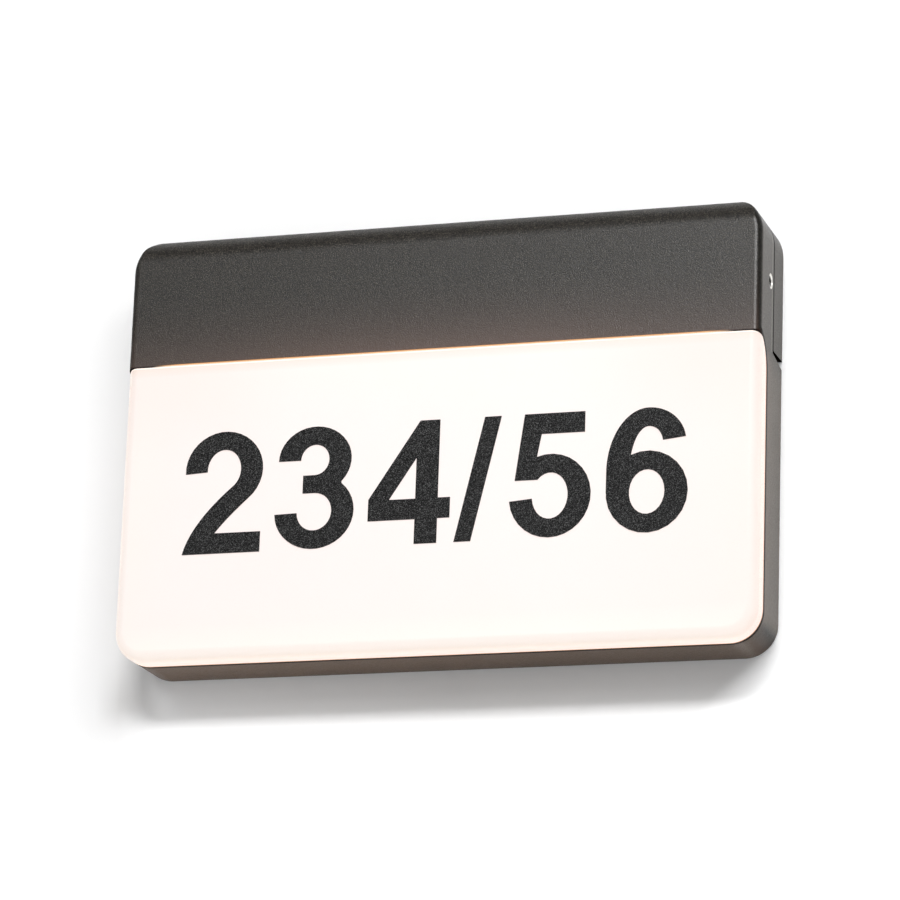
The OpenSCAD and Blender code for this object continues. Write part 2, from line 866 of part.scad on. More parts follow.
// Two electrolytic capacitors, lying on the board
module driver_capacitors() {
    near = core_w / 2 + can_gap;
    color("#30343c") for (side = [0, 1]) translate([driver_x, 0, 0]) mirror([side, 0, 0]) {
        rod_x(card_back_y + can_d / 2, driver_z + can_d / 2, can_d, near, near + can_l);
        translate([near, card_back_y, driver_z + can_d / 2])
            span([can_d / 8, 0, -can_d / 8], [can_l - can_d / 8, can_d / 2, can_d / 8]);
    }
}

// Screws of the driver
module driver_screws() {
    color("silver") at_driver_screws() translate([0, ear_seat_y + ear_t, 0])
        pan_screw(driver_screw_d, driver_screw_l, driver_screw_d + 2.4, driver_head_h, driver_head_h / 2);
}

// Three-pole terminal block
module terminal_block() {
    rear = block_y + block_d;
    low = block_z - block_h / 2;
    high = block_z + block_h / 2;
    color("#efefe8") difference() {
        span([block_x - block_w / 2, block_y, low], [block_x + block_w / 2, rear, high]);
        for (x = pole_x) {
            rod_z(x, clamp_y, clamp_d + 2 * fit, block_z - clamp_l / 2, block_z + clamp_l / 2);
            rod_z(x, clamp_y, clamp_bore + 2 * hole_clear, low - cut, high + cut);
            for (z = [-clamp_screw_z, clamp_screw_z])
                rod_y(x, block_z + z, clamp_screw_d + 2 * head_clear, clamp_y, rear + cut);
        }
        at_block_screws() {
            rod_y(0, 0, block_screw_d + 2 * hole_clear, block_y - cut, rear + cut);
            rod_y(0, 0, block_head_d + 2 * hole_clear, rear - block_head_sink, rear + cut);
        }
    }
}

// Brass barrels in the terminal block
module terminal_clamps() {
    z0 = block_z - clamp_l / 2 + fit;
    z1 = block_z + clamp_l / 2 - fit;
    color("#b79a4a") for (x = pole_x) difference() {
        rod_z(x, clamp_y, clamp_d, z0, z1);
        rod_z(x, clamp_y, clamp_bore, z0 - cut, z1 + cut);
        for (z = [-clamp_screw_z, clamp_screw_z])
            rod_y(x, block_z + z, clamp_screw_d + 2 * thread_play, clamp_y, clamp_y + clamp_d);
    }
}

// Clamping screws, two for each pole
module terminal_screws() {
    tip = clamp_y + strand_d / 2 + fit;
    rear = block_y + block_d - clamp_screw_sink;
    slot = clamp_screw_d / 4;
    color("silver") for (x = pole_x, z = [-clamp_screw_z, clamp_screw_z]) difference() {
        rod_y(x, block_z + z, clamp_screw_d, tip, rear);
        span(
            [x - clamp_screw_d, rear - slot, block_z + z - slot / 2],
            [x + clamp_screw_d, rear + cut, block_z + z + slot / 2]
        );
    }
}

// Screws that fix the terminal block to the housing
module block_screws() {
    seat = block_d - block_head_sink;
    thread = block_y - cap_in_y - fit;
    head_h = block_screw_d * 0.6;
    color("silver") at_block_screws() translate([0, block_y + seat, 0])
        pan_screw(block_screw_d, seat + thread, block_head_d, head_h, head_h / 2);
}

// Earth screw on its boss
module earth_screw() {
    head_h = earth_d * 0.6;
    thread = earth_y - cap_in_y - blind_skin;
    color("silver") translate([earth_x, earth_y + 2 * tag_t, earth_z])
        pan_screw(earth_d, 2 * tag_t + thread, earth_boss_d - 2, head_h, head_h / 2);
}

// Washer under the earth screw's head
module earth_washer() {
    color("silver") difference() {
        rod_y(earth_x, earth_z, earth_washer_d, earth_y + tag_t, earth_y + 2 * tag_t);
        rod_y(earth_x, earth_z, earth_d + 2 * hole_clear, earth_y, earth_y + 3 * tag_t);
    }
}

// Ring tag on the end of the earth lead
module earth_tag() {
    barrel_y = earth_y + tag_t / 2;
    barrel_x = earth_x - tag_l;
    neck_x = barrel_x + 2 * tag_w;
    color("#c9c4b4") difference() {
        union() {
            rod_y(earth_x, earth_z, earth_washer_d + 2 * hole_clear, earth_y, earth_y + tag_t);
            span(
                [neck_x - tag_w, earth_y, earth_z - tag_w / 2],
                [earth_x, earth_y + tag_t, earth_z + tag_w / 2]
            );
            rod_x(barrel_y, earth_z, tag_w, barrel_x, neck_x);
        }
        rod_y(earth_x, earth_z, earth_d + 2 * hole_clear, earth_y - cut, earth_y + tag_t + cut);
        rod_x(barrel_y, earth_z, strand_d + 2 * fit, barrel_x - cut, neck_x - cut);
    }
}

function unit(v) = v / norm(v);

// Point of a smooth curve between points i and i + 1 of a route
function curve_point(p, i, t) =
    let (
        a = p[max(i - 1, 0)],
        b = p[i],
        c = p[i + 1],
        d = p[min(i + 2, len(p) - 1)]
    )
    0.5 * (2 * b + (c - a) * t + (2 * a - 5 * b + 4 * c - d) * t * t
        + (3 * b - a - 3 * c + d) * t * t * t);

// Route with extra points on a smooth curve
function smooth(p) = concat(
    [for (i = [0 : len(p) - 2], k = [0 : lead_steps - 1]) curve_point(p, i, k / lead_steps)],
    [p[len(p) - 1]]
);

// Round lead along a route. The normal is a direction that the route never takes
module lead(route, d, normal) {
    path = smooth(route);
    last = len(path) - 1;
    rings = [
        for (i = [0 : last])
            let (
                t = unit(path[min(i + 1, last)] - path[max(i - 1, 0)]),
                u = unit(cross(t, normal)),
                v = cross(u, t)
            )
            for (k = [0 : lead_sides - 1])
                let (a = 360 * k / lead_sides)
                path[i] + d / 2 * (cos(a) * u + sin(a) * v)
    ];
    sides = [
        for (i = [0 : last - 1], k = [0 : lead_sides - 1])
            let (
                n = (k + 1) % lead_sides,
                a = i * lead_sides,
                b = a + lead_sides
            )
            each [[a + k, a + n, b + n], [a + k, b + n, b + k]]
    ];
    caps = [
        for (k = [1 : lead_sides - 2])
            each [[0, k + 1, k], [last * lead_sides, last * lead_sides + k, last * lead_sides + k + 1]]
    ];
    polyhedron(points = rings, faces = concat(sides, caps), convexity = 6);
}

// Bared end of a lead in a pole of the terminal block
module bared_end(x) {
    rod_z(x, clamp_y, strand_d, entry_z - strand_d, entry_z + clamp_l / 2);
}

// Lead from the driver to a pole of the terminal block, held off the front wall by a distance
module mains_lead(x, z, away) {
    lead([
        [driver_right_x - 1, driver_wire_y, z],
        [driver_right_x + 0.5, driver_wire_y, z],
        [driver_right_x + 3, driver_wire_y, z],
        [(driver_right_x + x) / 2, clamp_y + away, (z + lead_low_z) / 2],
        [x - 8, clamp_y + away, lead_low_z],
        [x - 1, clamp_y, entry_z - 3],
        [x, clamp_y, entry_z]
    ], mains_d, [0, 1, 0]);
    bared_end(x);
}

// Live lead
module wire_live() {
    color("#5b3a22") mains_lead(pole_x[1], driver_wire_z + lead_gap / 2, 3.5);
}

// Neutral lead
module wire_neutral() {
    color("#2c5fa8") mains_lead(pole_x[0], driver_wire_z - lead_gap / 2, 0);
}

// Earth lead, from the terminal block to the tag
module wire_earth() {
    x = pole_x[2];
    y = earth_y + tag_t / 2;
    end_x = earth_x - tag_l;
    color("#8ba22b") {
        lead([
            [x, clamp_y, entry_z],
            [x + 0.5, clamp_y, entry_z - 3],
            [x + 4, clamp_y, lead_low_z],
            [end_x - 8, y, lead_low_z + 3],
            [end_x - 4, y, earth_z - 1],
            [end_x - 0.5, y, earth_z]
        ], mains_d, [0, 1, 0]);
        bared_end(x);
        rod_x(y, earth_z, strand_d, end_x - 2, end_x + tag_w);
    }
}

// Lead from the driver down to a pad of the light source's board
module led_lead(side) {
    x = lead_x + side * lead_gap / 2;
    z = driver_wire_z - side * lead_gap / 2;
    lead([
        [driver_left_x + 1, driver_wire_y, z],
        [driver_left_x - 0.5, driver_wire_y, z],
        [driver_left_x - 2, driver_wire_y, z],
        [x, lead_y, step_z + 5],
        [x, lead_y, step_z + 2],
        [x, lead_y, ceiling_z - 0.5],
        [x, lead_y, ceiling_z - 2],
        [x + 4, lead_y + 1, pad_z + 7],
        [pad_x + side * lead_gap / 2, board_front_y - led_lead_d / 2 - fit, pad_z]
    ], led_lead_d, [0, 1, 0.3]);
}

module wire_led_plus() {
    color("#a32020") led_lead(1);
}

module wire_led_minus() {
    color("#1d1d1d") led_lead(-1);
}

// Oval grommet that seals the two leads where they enter the tray
module lead_grommet() {
    brim_t = 0.8;
    color("#262626") translate([lead_x, lead_y, 0]) difference() {
        union() {
            translate([0, 0, ceiling_z]) linear_extrude(step_z - ceiling_z)
                stadium(lead_slot_w - 2 * fit, lead_slot_h - 2 * fit);
            translate([0, 0, step_z]) linear_extrude(brim_t)
                stadium(lead_slot_w + 2 * brim_t, lead_slot_h + brim_t / 2);
        }
        for (x = [-lead_gap / 2, lead_gap / 2])
            rod_z(x, 0, led_lead_d + 2 * hole_clear, ceiling_z - cut, step_z + brim_t + cut);
    }
}

// Points of an ellipse's arc, as fractions of the digit's own size
function arc_points(c, rx, rz, a0, a1) =
    [for (i = [0 : 24]) let (a = a0 + (a1 - a0) * i / 24) [c.x + rx * cos(a), c.y + rz * sin(a)]];

// Points of a curve from p to q that leaves and arrives towards m
function bend_points(p, m, q) =
    [for (i = [0 : 10]) let (t = i / 10) (1 - t) * (1 - t) * p + 2 * t * (1 - t) * m + t * t * q];

// Curved stroke of a digit between two angles
module bowl(c, rx, rz, a0, a1) {
    polygon(concat(
        arc_points(c, rx, rz, a0, a1),
        arc_points(c, rx - stem_w, rz - curve_w, a1, a0)
    ));
}

// Closed bowl of a digit
module ring(c, rx, rz) {
    difference() {
        polygon(arc_points(c, rx, rz, 0, 345));
        polygon(arc_points(c, rx - stem_w, rz - curve_w, 0, 345));
    }
}

// Film of one character, from its place in the row
module film(x) {
    color("#2d2d2d") deep(front_y - film_t, front_y) translate([x - number_w / 2, baseline_z])
        children();
}

module number_2() {
    w = digit_w;
    rx = w / 2;
    rz = digit_h * 0.316;
    c = [rx, digit_h - rz];
    outer_end = arc_points(c, rx, rz, 184, -50)[24];
    inner_end = arc_points(c, rx - stem_w, rz - curve_w, 184, -50)[24];
    film(bearing) polygon(concat(
        arc_points(c, rx, rz, 184, -50),
        bend_points(outer_end, [w * 0.56, digit_h * 0.29], [w * 0.405, bar_w]),
        [[w, bar_w], [w, 0], [0, 0]],
        bend_points([0, 0], [w * 0.1, digit_h * 0.26], inner_end),
        arc_points(c, rx - stem_w, rz - curve_w, -50, 184)
    ));
}

module number_3() {
    w = digit_w;
    up = digit_h * 0.274;
    low = digit_h * 0.302;
    high_c = [w * 0.485, digit_h - up];
    low_c = [w * 0.495, low];
    film(digit_spacing + bearing) polygon(concat(
        arc_points(high_c, w * 0.465, up, 180, -42),
        arc_points(low_c, w * 0.505, low, 48, -178),
        arc_points(low_c, w * 0.505 - stem_w, low - curve_w, -178, 90),
        [[w * 0.34, 2 * low - curve_w], [w * 0.34, digit_h - 2 * up + curve_w]],
        arc_points(high_c, w * 0.465 - stem_w, up - curve_w, -90, 180)
    ));
}

module number_4() {
    w = digit_w * 1.03;
    right = w * 0.85;
    left = right - stem_w;
    foot = digit_h * 0.2;
    top = foot + bar_w;
    film(2 * digit_spacing + bearing) difference() {
        polygon([
            [0, foot], [left, foot], [left, 0], [right, 0], [right, foot], [w, foot], [w, top],
            [right, top], [right, digit_h], [left + stem_w * 0.12, digit_h], [0, top + bar_w * 0.05]
        ]);
        polygon([[w * 0.25, top], [left, top], [left, digit_h * 0.7]]);
    }
}

module number_stroke() {
    lean = digit_h * 0.226;
    w = stem_w * 0.735;
    film(3 * digit_spacing)
        polygon([[0, 0], [w, 0], [w + lean, digit_h], [lean, digit_h]]);
}

module number_5() {
    w = digit_w;
    rz = digit_h * 0.335;
    c = [w * 0.495, rz];
    counter = arc_points(c, w * 0.505 - stem_w, rz - curve_w, -174, 135);
    film(3 * digit_spacing + stroke_spacing + bearing) polygon(concat(
        [
            [w * 0.055, counter[24].y], [w * 0.16, digit_h], [w * 0.91, digit_h],
            [w * 0.91, digit_h - bar_w], [w * 0.375, digit_h - bar_w]
        ],
        arc_points(c, w * 0.505, rz, 110, -174),
        counter
    ));
}

module number_6() {
    w = digit_w;
    low = digit_h * 0.327;
    tall = digit_h / 2;
    top_r = digit_h * 0.285;
    film(4 * digit_spacing + stroke_spacing + bearing) {
        ring([w * 0.5, low], w * 0.5, low);
        bowl([w * 0.51, tall], w * 0.51, tall, 90, 180);
        bowl([w * 0.51, digit_h - top_r], w * 0.46, top_r, 8, 90);
        translate([0, low]) square([stem_w, tall - low]);
    }
}

head_housing();
diffuser();
diffuser_seal();
diffuser_screws();
screw_seals();
wall_bracket();
wall_gasket();
cable_grommet();
set_screw_left();
set_screw_right();
led_board();
leds();
reflector();
board_screws();
driver_case();
driver_lid();
driver_board();
driver_transformer();
driver_capacitors();
driver_screws();
terminal_block();
terminal_clamps();
terminal_screws();
block_screws();
earth_screw();
earth_washer();
earth_tag();
wire_live();
wire_neutral();
wire_earth();
wire_led_plus();
wire_led_minus();
lead_grommet();
number_2();
number_3();
number_4();
number_stroke();
number_5();
number_6();
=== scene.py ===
"""Looks of an illuminated house number light on a white wall.

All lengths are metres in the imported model's frame: X runs across the light, Z runs up, the front
faces -Y and the wall is at Y = 0.
"""
import json
import math

import bpy
from mathutils import Matrix, Vector


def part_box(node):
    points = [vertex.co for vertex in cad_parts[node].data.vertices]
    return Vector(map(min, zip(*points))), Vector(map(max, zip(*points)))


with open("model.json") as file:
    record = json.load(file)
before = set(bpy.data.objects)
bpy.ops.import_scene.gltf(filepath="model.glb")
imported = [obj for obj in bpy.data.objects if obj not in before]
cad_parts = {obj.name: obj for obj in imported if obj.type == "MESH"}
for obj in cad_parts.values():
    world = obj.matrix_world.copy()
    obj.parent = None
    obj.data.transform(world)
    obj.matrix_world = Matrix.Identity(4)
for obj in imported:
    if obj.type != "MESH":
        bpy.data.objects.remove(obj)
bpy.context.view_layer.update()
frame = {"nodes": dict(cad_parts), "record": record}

MM = 0.001

# Camera of the photograph: focal length in pixels, its angles and the point on the wall that it looks at
FRAME_PX = 900
FOCAL_PX = 4342.2
SENSOR_MM = 36
CAMERA_YAW = math.radians(18.086)
CAMERA_PITCH = math.radians(16.138)
CAMERA_ROLL = math.radians(2.009)
CAMERA_TARGET = Vector((-4.194, 0, -49.431)) * MM
CAMERA_DISTANCE = 1492.8 * MM

# Outer sizes of the light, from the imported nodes
head_low, head_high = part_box("head_housing")
lens_low, lens_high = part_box("diffuser")
SIDE_X = head_high.x
FRONT_Y = head_low.y
CORNER_R = 11 * MM

# Lines on the light: cap to diffuser, diffuser to body, head to bracket, and the bracket's lower end
DIVISION_Z = 25 * MM - 47.9 * MM
PARTING_Y = FRONT_Y + 9.3 * MM
JOINT_Y = -13.5 * MM
GAP_Z = -26.5 * MM

# Arc at the top of the diffuser's rear edge, seen from the side
ARC_Z = -35 * MM
ARC_R = 12.5 * MM

# Axis of the two set screws and the radius of their threaded holes
SCREW_Y = -17.45 * MM
SCREW_Z = -1.9 * MM
THREAD_R = 2.6 * MM


# Small helpers for node trees

def put(tree, socket, value):
    """Links a socket to a value that is a socket, or else sets it."""
    if isinstance(value, bpy.types.NodeSocket):
        tree.links.new(value, socket)
    else:
        socket.default_value = value


def add(tree, kind, inputs=None, **settings):
    """A new shader node of a kind, with its settings and its inputs by name or number."""
    node = tree.nodes.new("ShaderNode" + kind)
    for name, value in settings.items():
        setattr(node, name, value)
    for key, value in (inputs or {}).items():
        put(tree, node.inputs[key], value)
    return node


def calc(tree, operation, *values):
    """The result of a Math node."""
    node = add(tree, "Math", operation=operation)
    for socket, value in zip(node.inputs, values):
        put(tree, socket, value)
    return node.outputs[0]


def product(tree, first, *others):
    """Numbers multiplied together."""
    for other in others:
        first = calc(tree, "MULTIPLY", first, other)
    return first


def largest(tree, first, *others):
    """The largest of some numbers."""
    for other in others:
        first = calc(tree, "MAXIMUM", first, other)
    return first


def diagonal(tree, first, second):
    """How long a line is whose two parts at right angles are given."""
    total = calc(tree, "ADD", product(tree, first, first), product(tree, second, second))
    return calc(tree, "POWER", total, 0.5)


def place(tree, kind="Object"):
    """Texture coordinates: Object is the model's own frame in metres."""
    return add(tree, "TexCoord").outputs[kind]


def axes(tree, vector):
    """The three numbers of a vector."""
    return add(tree, "SeparateXYZ", {0: vector}).outputs


def stretched(tree, vector, scale):
    """Coordinates scaled along each axis."""
    return add(tree, "Mapping", {"Vector": vector, "Scale": scale}).outputs[0]


def noise(tree, vector, size, detail=2.0, roughness=0.5):
    """Noise whose features are about a size across, in metres."""
    inputs = {"Vector": vector, "Scale": 1 / size, "Detail": detail, "Roughness": roughness}
    return add(tree, "TexNoise", inputs).outputs["Fac"]


def remap(tree, value, low, high, to_low=0.0, to_high=1.0, smooth=False):
    """A value taken from one range to another and kept inside it."""
    inputs = {"Value": value, "From Min": low, "From Max": high, "To Min": to_low, "To Max": to_high}
    kind = "SMOOTHSTEP" if smooth else "LINEAR"
    return add(tree, "MapRange", inputs, interpolation_type=kind).outputs["Result"]


def near_level(tree, value, level, reach, core=0.0):
    """1 within a core distance of a level, falling to 0 a reach away from it."""
    off = calc(tree, "ABSOLUTE", calc(tree, "SUBTRACT", value, level))
    return remap(tree, off, core, reach, 1, 0)


def blend(tree, factor, first, second):
    """Two colours or colour sockets mixed by a factor."""
    node = add(tree, "Mix", data_type="RGBA")
    put(tree, node.inputs["Factor"], factor)
    for key, colour in (("A", first), ("B", second)):
        put(tree, node.inputs[key], colour if isinstance(colour, bpy.types.NodeSocket) else (*colour, 1))
    return node.outputs["Result"]


def layered(tree, tone, *layers):
    """A colour with others laid over it in turn, each given by how much of it shows and its colour."""
    for amount, colour in layers:
        tone = blend(tree, amount, tone, colour)
    return tone


def bump(tree, height, depth, strength=1.0, normal=None):
    """A bumped normal from a height of 0 to 1 that stands for a depth in metres."""
    inputs = {"Height": height, "Distance": depth, "Strength": strength}
    if normal is not None:
        inputs["Normal"] = normal
    return add(tree, "Bump", inputs).outputs["Normal"]


def material(name):
    """A new material, its tree and its empty principled shader."""
    mat = bpy.data.materials.new(name)
    mat.use_nodes = True
    tree = mat.node_tree
    shader = next(n for n in tree.nodes if n.type == "BSDF_PRINCIPLED")
    return mat, tree, shader


def finish_with(tree, shader, **sockets):
    """Sets the principled shader's sockets; underscores in a name stand for spaces."""
    for name, value in sockets.items():
        put(tree, shader.inputs[name.replace("_", " ")], value)


class Spot:
    """Sockets for a point of a surface: its place in the model's frame and the way that it faces."""

    def __init__(self, tree):
        self.at = place(tree)
        self.x, self.y, self.z = axes(tree, self.at)
        self.out = calc(tree, "ABSOLUTE", self.x)
        self.face_x, self.face_y, self.face_z = axes(tree, place(tree, "Normal"))
        self.sideways = calc(tree, "ABSOLUTE", self.face_x)
        self.side = remap(tree, self.sideways, 0.9, 0.99)


# Places on the light that more than one material needs

def lens_gap(tree, spot):
    """How far beyond the diffuser's rear edge a point is, in metres, seen from the side."""
    off_y = calc(tree, "SUBTRACT", spot.y, PARTING_Y - ARC_R)
    off_z = calc(tree, "MAXIMUM", calc(tree, "SUBTRACT", spot.z, ARC_Z), 0.0)
    return calc(tree, "SUBTRACT", diagonal(tree, off_y, off_z), ARC_R)


def screw_distance(tree, spot):
    """How far a point is from the axis of the set screws, in metres."""
    off_y = calc(tree, "SUBTRACT", spot.y, SCREW_Y)
    off_z = calc(tree, "SUBTRACT", spot.z, SCREW_Z)
    return diagonal(tree, off_y, off_z)


def edge_distance(tree, at, low, high):
    """How far inside a box's front view, with its corners rounded, a point is, in metres."""
    x, _, z = axes(tree, at)
    off_z = calc(tree, "SUBTRACT", z, (high.z + low.z) / 2)
    out_x = calc(tree, "SUBTRACT", calc(tree, "ABSOLUTE", x), high.x - CORNER_R)
    out_z = calc(tree, "SUBTRACT", calc(tree, "ABSOLUTE", off_z), (high.z - low.z) / 2 - CORNER_R)
    corner = diagonal(tree, calc(tree, "MAXIMUM", out_x, 0.0), calc(tree, "MAXIMUM", out_z, 0.0))
    inner = calc(tree, "MINIMUM", calc(tree, "MAXIMUM", out_x, out_z), 0.0)
    return calc(tree, "SUBTRACT", CORNER_R, calc(tree, "ADD", corner, inner))


# Powder coat of the head and the bracket: its ground, then what shade and the diffuser's light make of it

COAT_PIT = (0.002, 0.0016, 0.0011)
COAT_GRAIN = (0.014, 0.0121, 0.0094)
COAT_FLECK = (0.095, 0.083, 0.067)
COAT_CLOUD = (0.013, 0.0118, 0.01)
# Painted shade on the rounds between the front and the sides
COAT_PAINTED_ROUND_SHADE = (0.004, 0.0033, 0.0025)
# Painted light on the sides, warmer and paler
COAT_PAINTED_SIDE_LIGHT = (0.075, 0.054, 0.03)
# Painted light from the diffuser on the cap's front and the body's side
COAT_PAINTED_DIFFUSER_LIGHT = (0.085, 0.055, 0.044)
# Painted light on the body's sides below the bracket
COAT_PAINTED_LOW_SIDE_LIGHT = (0.15, 0.115, 0.085)
# Painted warm light from the diffuser on the body's underside
COAT_PAINTED_UNDERSIDE_LIGHT = (0.125, 0.071, 0.038)
# Painted highlight on the sides along the joint
COAT_PAINTED_EDGE_HIGHLIGHT = (0.17, 0.15, 0.125)
# Painted orange glow in the gap under the cap, turning to painted shade near its corners
COAT_PAINTED_GLOW = (0.8, 0.36, 0.11)
COAT_PAINTED_CORNER_SHADE = (0.02, 0.008, 0.004)
# Painted shade in the joint and the gaps
COAT_PAINTED_GAP_SHADE = (0.003, 0.0018, 0.001)
# Painted light: emission on the cap's lower lip
PAINTED_LIP_GLOW = (0.9, 0.76, 0.6)
BARE_METAL = (0.95, 0.93, 0.9)
# Painted warm sheen: the sides' reflection tinted warm
PAINTED_SIDE_SHEEN = (1, 0.94, 0.86)
UNDERSIDE_Z = -90 * MM


def coat_ground(tree, at, grain, dust):
    """Warm dark grey with pale flecks, a little cloudy."""
    cloud = noise(tree, at, 30 * MM)
    return layered(
        tree, blend(tree, remap(tree, grain, 0.36, 0.64), COAT_PIT, COAT_GRAIN),
        (remap(tree, dust, 0.52, 0.66, 0, 0.75), COAT_FLECK),
        (remap(tree, cloud, 0.35, 0.65, 0, 0.16), COAT_CLOUD),
    )


def painted_round_shade(tree, spot):
    """1 on the rounds between the front and the sides, where little is reflected; painted shade makes the
    coat darker and less glossy there.
    """
    return product(
        tree, remap(tree, spot.sideways, 0.3, 0.5), remap(tree, spot.sideways, 0.88, 0.98, 1, 0)
    )


def painted_diffuser_light(tree, spot):
    """How much painted light from the diffuser lies on the cap's front and on the body's side beside it."""
    middle = remap(tree, spot.out, 0.2 * SIDE_X, SIDE_X, 1, 0.55, smooth=True)
    above = calc(tree, "POWER", remap(tree, spot.z, DIVISION_Z, DIVISION_Z + 28 * MM, 1, 0), 2.2)
    front = product(tree, above, middle, remap(tree, spot.face_y, -0.9, -0.6, 1, 0))
    beside = product(
        tree, near_level(tree, spot.y, PARTING_Y, 9 * MM), remap(tree, spot.z, GAP_Z, GAP_Z - 4 * MM),
        remap(tree, spot.sideways, 0.75, 0.98),
    )
    return calc(tree, "MAXIMUM", front, beside)


def underside(tree, spot):
    """How much painted warm light from the diffuser lies on the body's underside, most of it at the left."""
    return product(
        tree, remap(tree, spot.face_z, -0.9, -0.4, 1, 0),
        remap(tree, spot.z, UNDERSIDE_Z, UNDERSIDE_Z + 10 * MM, 1, 0),
        remap(tree, spot.x, -SIDE_X, SIDE_X, 0.95, 0.55),
    )


def painted_edge_highlight(tree, spot):
    """Painted highlight: how much paler the sides are along the joint between head and bracket."""
    return product(
        tree, near_level(tree, spot.y, JOINT_Y - 1.6 * MM, 1 * MM), spot.side,
        remap(tree, spot.z, GAP_Z, GAP_Z + 1 * MM, 0, 0.7),
    )


def painted_hidden_glow(tree, spot):
    """How much painted light from the diffuser lies in the gap under the cap, and its colour: an orange
    glow, turning to painted shade near the corners.
    """
    amount = product(
        tree, remap(tree, spot.y, FRONT_Y + 4 * MM, FRONT_Y + 6 * MM, 1, 0),
        near_level(tree, spot.z, DIVISION_Z - 3 * MM, 3.45 * MM, 3.2 * MM),
        remap(tree, spot.face_z, 0.3, 0.5, 1, 0),
    )
    corner = remap(tree, spot.out, SIDE_X - 18 * MM, SIDE_X - 10 * MM)
    return amount, blend(tree, corner, COAT_PAINTED_GLOW, COAT_PAINTED_CORNER_SHADE)


def painted_gap_shade(tree, spot):
    """1 in the joint with the bracket, in the gap below it and along the diffuser's rear edge, where painted
    shade makes the coat near black and without gloss.
    """
    gap = product(
        tree, near_level(tree, spot.z, GAP_Z, 3 * MM, 2 * MM),
        remap(tree, spot.y, JOINT_Y - 1 * MM, JOINT_Y),
        remap(tree, calc(tree, "ABSOLUTE", spot.face_z), 0.3, 0.5),
    )
    joint = product(
        tree, near_level(tree, spot.y, JOINT_Y + 0.5 * MM, 1.1 * MM, 0.4 * MM),
        remap(tree, spot.z, GAP_Z, GAP_Z + 1 * MM, 0, 0.95),
    )
    seam = product(
        tree, near_level(tree, lens_gap(tree, spot), 0.5 * MM, 1.3 * MM, 0.8 * MM),
        remap(tree, spot.face_y, -0.6, -0.3, 0, 0.9),
    )
    return largest(tree, gap, joint, seam)


def coat_colour(tree, spot, grain, dust, shaded, black):
    """The coat's colour: its ground, then painted shade, darker on the rounds and black in gaps, and painted
    light, warmer near the diffuser and paler on the sides, with a painted highlight along the joint.
    """
    # Painted light on the body's sides below the bracket
    low_side_painted_light = product(tree, spot.side, remap(tree, spot.z, GAP_Z, GAP_Z - 8 * MM, 0, 0.4))
    return layered(
        tree, coat_ground(tree, spot.at, grain, dust),
        (product(tree, shaded, 0.7), COAT_PAINTED_ROUND_SHADE),
        (product(tree, spot.side, 0.2), COAT_PAINTED_SIDE_LIGHT),
        (painted_diffuser_light(tree, spot), COAT_PAINTED_DIFFUSER_LIGHT),
        (low_side_painted_light, COAT_PAINTED_LOW_SIDE_LIGHT),
        (underside(tree, spot), COAT_PAINTED_UNDERSIDE_LIGHT),
        (painted_edge_highlight(tree, spot), COAT_PAINTED_EDGE_HIGHLIGHT),
        painted_hidden_glow(tree, spot),
        (black, COAT_PAINTED_GAP_SHADE),
    )


def coat_gloss(tree, spot, shaded, black):
    """The coat's specular level: less on the bracket; painted shade makes it less on rounds, on upward faces
    and a little on the sides, none in gaps; a painted highlight makes it more where the side rounds begin.
    """
    bracket = product(
        tree, remap(tree, spot.y, JOINT_Y, JOINT_Y + 0.2 * MM),
        remap(tree, spot.z, GAP_Z, GAP_Z + 1 * MM),
    )
    # Painted shade: less gloss on upward faces and a little less on the sides
    upward = product(tree, remap(tree, spot.face_z, 0.4, 0.8), 0.75)
    dimmer = calc(tree, "MAXIMUM", upward, product(tree, spot.side, 0.1))
    # Painted highlight: more gloss where the side rounds begin
    bright = product(
        tree, remap(tree, spot.sideways, 0.05, 0.15), remap(tree, spot.sideways, 0.3, 0.42, 1, 0)
    )
    return product(
        tree, calc(tree, "SUBTRACT", 1, black), remap(tree, bracket, 0, 1, 0.34, 0.26),
        remap(tree, shaded, 0, 1, 1, 0.5), calc(tree, "SUBTRACT", 1, dimmer),
        remap(tree, bright, 0, 1, 1, 1.7),
    )


def painted_lip_light(tree, spot):
    """Painted light on the cap's lower lip, as emission, for the light that leaves the diffuser's upper
    edge.
    """
    amount = product(
        tree, near_level(tree, spot.z, DIVISION_Z - 0.35 * MM, 0.45 * MM, 0.3 * MM),
        remap(tree, spot.out, SIDE_X - 14 * MM, SIDE_X - 9 * MM, 1, 0),
        remap(tree, spot.y, FRONT_Y + 2 * MM, FRONT_Y + 3 * MM, 1, 0),
    )
    return blend(tree, amount, (0, 0, 0), PAINTED_LIP_GLOW)


def bare_thread(tree, spot):
    """1 on the bare metal of the two threaded holes in the sides of the cap."""
    ring = remap(tree, screw_distance(tree, spot), THREAD_R, THREAD_R + 0.1 * MM, 1, 0)
    return product(tree, ring, remap(tree, spot.out, SIDE_X - 8 * MM, SIDE_X - 7 * MM))


